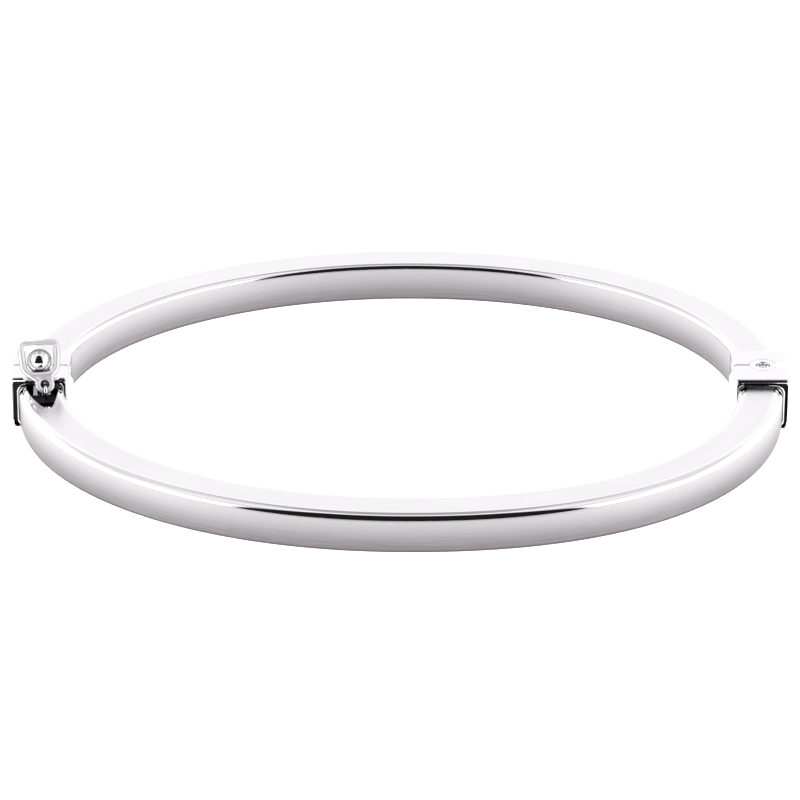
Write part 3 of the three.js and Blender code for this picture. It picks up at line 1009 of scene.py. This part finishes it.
def safety_catch():
    """The figure eight: a squarish loop, a small eye and a web of legs between, fused to one skin."""
    left, right = LOOP_SIDE - LOOP_HALF_WIDTH, LOOP_SIDE + LOOP_HALF_WIDTH
    loop = rounded_loop([
        (left - LOOP_TOP_SPREAD, LOOP_TOP, LOOP_TOP_CORNER),
        (left + LOOP_BOTTOM_PINCH[0], LOOP_BOTTOM, LOOP_BOTTOM_CORNER),
        (right - LOOP_BOTTOM_PINCH[1], LOOP_BOTTOM, LOOP_BOTTOM_CORNER),
        (right + LOOP_TOP_SPREAD, LOOP_TOP, LOOP_TOP_CORNER),
    ])
    line = dense([in_catch(*point) for point in loop], LOOP_STATIONS)
    bar_level = (pivot + catch_up * (LOOP_TOP - LOOP_TOP_BAR)).z
    thickness = [LOOP_TOP_WIRE if point.z > bar_level else LOOP_WIRE for point in line]
    big = wire("safety_catch_wire", line, thickness, True)
    eye_line = []
    eye_steps = 40
    for step in range(eye_steps):
        angle = 2 * math.pi * step / eye_steps
        eye_line.append(in_catch(EYE_RING * math.cos(angle), EYE_RING + EYE_RING * math.sin(angle)))
    parts = [wire("eye", eye_line, EYE_WIRE, True)]
    for at_eye, (across, up), thin, thick in NECK_LEGS:
        ends = [in_catch(*at_eye), in_catch(LOOP_SIDE + across, LOOP_BOTTOM + up)]
        parts.append(wire("leg", ends, [thin, thick]))
    joined = bmesh.new()
    for part in [big] + parts:
        joined.from_mesh(part.data)
    joined.to_mesh(big.data)
    joined.free()
    for part in parts:
        bpy.data.objects.remove(part)
    remesh = big.modifiers.new("remesh", "REMESH")
    remesh.mode = "VOXEL"
    remesh.voxel_size = CATCH_VOXEL
    smooth = big.modifiers.new("smooth", "SMOOTH")
    smooth.factor = 0.5
    smooth.iterations = 5
    baked(big)
    place(big, "catch", ["safety_catch"], [wire_silver], degrees=ALL_SMOOTH)


safety_catch()


def staple():
    """The hoop of wire that the catch's eye turns on, its feet just in the seat."""
    low, high = box("catch_staple")
    foot = Vector((0, 0, box("catch_seat")[1].z + STAPLE_SINK - pivot.z))
    radius = (high.y - low.y) / 2 - STAPLE_WIRE
    steps = 16
    line = [pivot - catch_back * radius + foot]
    for step in range(steps + 1):
        angle = math.pi * step / steps
        rise = Vector((0, 0, radius * math.sin(angle)))
        line.append(pivot - catch_back * radius * math.cos(angle) + rise)
    line.append(pivot + catch_back * radius + foot)
    piece = wire("catch_staple_wire", line, STAPLE_WIRE)
    place(piece, node_body("catch_staple"), ["catch_staple"], [ball_silver],
          degrees=SOFT_EDGE)


staple()


def seat():
    """The plate under the notch, which the staple stands on."""
    low, high = box("catch_seat")
    centre = (low + high) / 2
    end = end_profile(SEAM_ROUND)
    level = Vector((0, 0, centre.z))
    size = (SEAT_WIDTH, high.z - low.z)
    reach = (-SEAT_HALF_DEPTH, SEAT_HALF_DEPTH)
    piece = block("catch_seat_plate", level, *size, *reach, SEAT_EDGE, end, end)
    turn = math.atan2(catch_across.y, catch_across.x)
    move = Matrix.Translation((centre.x, centre.y, 0)) @ Matrix.Rotation(turn, 4, "Z")
    piece.data.transform(move)
    # The seat is painted black as shade, deep in the notch.
    place(piece, node_body("catch_seat"), ["catch_seat"], [shade_material])


seat()

# The tongue and the shoulders keep their CAD shape.
for kept in frame["nodes"].values():
    if not kept.hide_render:
        kept.data.materials.clear()
        kept.data.materials.append(bright)


# ---- studio -----------------------------------------------------------------------------------

# Brightness of the tent's parts, and how much the table glows.
SIDE_WALL = 1.5
BACK_WALL = 1.05
ROOF = 0.40
ROOF_SIDES = 0.8
STRIP = 1.05
OPENING = 0.012
TABLE_GLOW = 0.72
TENT_TINT = (1, 0.99, 1, 1)
# Where one part of the tent turns into the next.
BACK_ASIDE = (120, 150)
ROOF_HEIGHT = (33, 44)
ROOF_OFF_MIDDLE = (0.06, 0.24)
STRIP_FROM = (-4, -1)
STRIP_TO = (12, 14)
OPENING_ASIDE = (38, 43)
FLOOR_LIGHT_WATTS = 2.6
FLOOR_LIGHT_SIZE = 0.9
FLOOR_LIGHT_PLACE = (0, 0.1, 0.8)
FLOOR_REACH = 3.0
FLOOR_TONES = ((0.9, 0.9, 0.9, 1), (0.88, 0.88, 0.88, 1))

# The camera looks down at 26 degrees, from the middle of the front.
CAMERA_ELEVATION = 26.0
CAMERA_DISTANCE = 0.4145
CAMERA_LENS = 213.9
CAMERA_SENSOR = 36.0
AIM_AHEAD = -1.97


def studio_world():
    """A tent of white walls with a gray roof, a bright strip at the roof's front and a dark opening
    on the camera's side. Angles are in degrees: height above the floor, aside from straight ahead of
    the camera's side, and forward from straight up towards it.
    """
    world = bpy.data.worlds.new("studio")
    bpy.context.scene.world = world
    world.use_nodes = True
    nodes = Nodes(world.node_tree)
    direction = nodes.add("ShaderNodeTexCoord").outputs["Generated"]
    x, y, z = nodes.add("ShaderNodeSeparateXYZ", {"Vector": direction}).outputs
    ahead = nodes.math("MULTIPLY", y, -1.0)
    height = nodes.math("DEGREES", nodes.math("ARCSINE", z))
    aside = nodes.math("DEGREES", nodes.math("ABSOLUTE", nodes.math("ARCTAN2", x, ahead)))
    forward = nodes.math("DEGREES", nodes.math("ARCTAN2", ahead, z))

    beside = nodes.ramp(aside, *BACK_ASIDE, SIDE_WALL, BACK_WALL)
    roof = nodes.ramp(height, *ROOF_HEIGHT)
    overhead = nodes.ramp(nodes.math("ABSOLUTE", x), *ROOF_OFF_MIDDLE, ROOF, ROOF_SIDES)
    walls = nodes.mix_value(roof, beside, overhead)
    strip_starts = nodes.ramp(forward, *STRIP_FROM)
    strip_ends = nodes.ramp(forward, *STRIP_TO, 1.0, 0.0)
    lit = nodes.mix_value(nodes.math("MULTIPLY", strip_starts, strip_ends), walls, STRIP)
    opening_sides = nodes.ramp(aside, *OPENING_ASIDE, 1.0, 0.0)
    opening_top = nodes.ramp(forward, *STRIP_TO)
    opening = nodes.math("MULTIPLY", opening_sides, opening_top)
    light = nodes.mix_value(opening, lit, OPENING)
    shader = nodes.add("ShaderNodeBackground", {"Color": TENT_TINT, "Strength": light})
    output = nodes.add("ShaderNodeOutputWorld")
    nodes.tree.links.new(shader.outputs[0], output.inputs[0])


def floor_light():
    """Soft light from above that whitens the floor and isn't mirrored in the metal."""
    data = bpy.data.lights.new("floor_light", "AREA")
    data.energy = FLOOR_LIGHT_WATTS
    data.shape = "DISK"
    data.size = FLOOR_LIGHT_SIZE
    lamp = bpy.data.objects.new("floor_light", data)
    bpy.context.scene.collection.objects.link(lamp)
    lamp.location = FLOOR_LIGHT_PLACE
    lamp.visible_glossy = False


def floor():
    """A white table that glows a little, as a lit one does."""
    bm = bmesh.new()
    signs = ((-1, -1), (1, -1), (1, 1), (-1, 1))
    bm.faces.new([bm.verts.new((x * FLOOR_REACH, y * FLOOR_REACH, 0)) for x, y in signs])
    piece = new_object("studio_floor", bm)
    material, nodes, shader = material_tree("white_floor")
    shader.inputs["Metallic"].default_value = 0.0
    shader.inputs["Roughness"].default_value = 0.9
    shader.inputs["Specular IOR Level"].default_value = 0.1
    shader.inputs["Emission Color"].default_value = (1, 1, 1, 1)
    shader.inputs["Emission Strength"].default_value = TABLE_GLOW
    place_of = nodes.add("ShaderNodeTexCoord").outputs["Object"]
    nodes.put(shader.inputs["Base Color"], nodes.mix(nodes.noise(place_of, 6.0), *FLOOR_TONES))
    piece.data.materials.append(material)


def camera():
    data = bpy.data.cameras.new("camera")
    data.lens = CAMERA_LENS
    data.sensor_width = CAMERA_SENSOR
    data.clip_start = 0.01
    viewer = bpy.data.objects.new("camera", data)
    bpy.context.scene.collection.objects.link(viewer)
    aim = Vector((0, seam_y + AIM_AHEAD, mid_z)) * MM
    tilt = math.radians(CAMERA_ELEVATION)
    viewer.location = aim + Vector((0, -math.cos(tilt), math.sin(tilt))) * CAMERA_DISTANCE
    viewer.rotation_euler = (math.pi / 2 - tilt, 0, 0)
    bpy.context.scene.camera = viewer


studio_world()
floor_light()
floor()
camera()
bpy.context.scene.view_settings.view_transform = "Standard"
